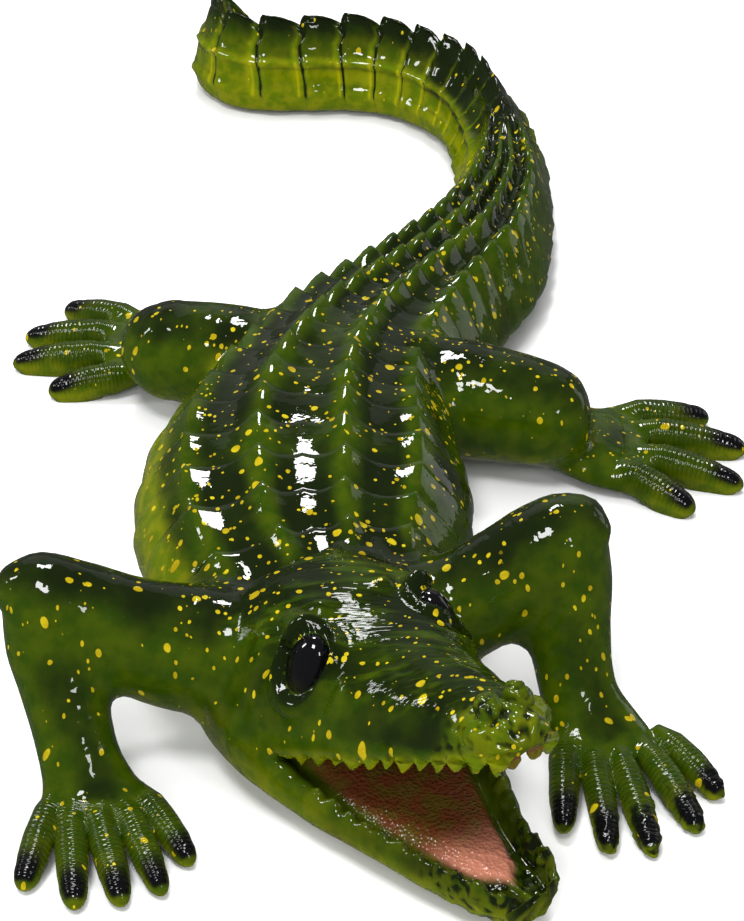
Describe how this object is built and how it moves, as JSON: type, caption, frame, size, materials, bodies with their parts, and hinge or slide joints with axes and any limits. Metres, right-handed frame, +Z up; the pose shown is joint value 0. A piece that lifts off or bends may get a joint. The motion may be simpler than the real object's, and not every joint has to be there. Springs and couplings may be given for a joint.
{
  "type": "crocodile sculpture",
  "caption": "Crocodile ornament cast in one piece, lying on its feet with jaws open, head turned and tail swept round behind.",
  "frame": {"origin": "on the ground, under the centre of the figure's bounding box", "axes": "+Z up from the soles, +Y towards the tail, so the head is at -Y; +X is the animal's left"},
  "size_m": [0.295, 0.6534, 0.0816],
  "materials": {
    "lacquered_resin": "high-gloss lacquer over dark green paint with yellow-green flanks and ochre-yellow spatter"
  },
  "bodies": {
    "root": {"crocodile": "lacquered_resin"}
  },
  "joints": []
}
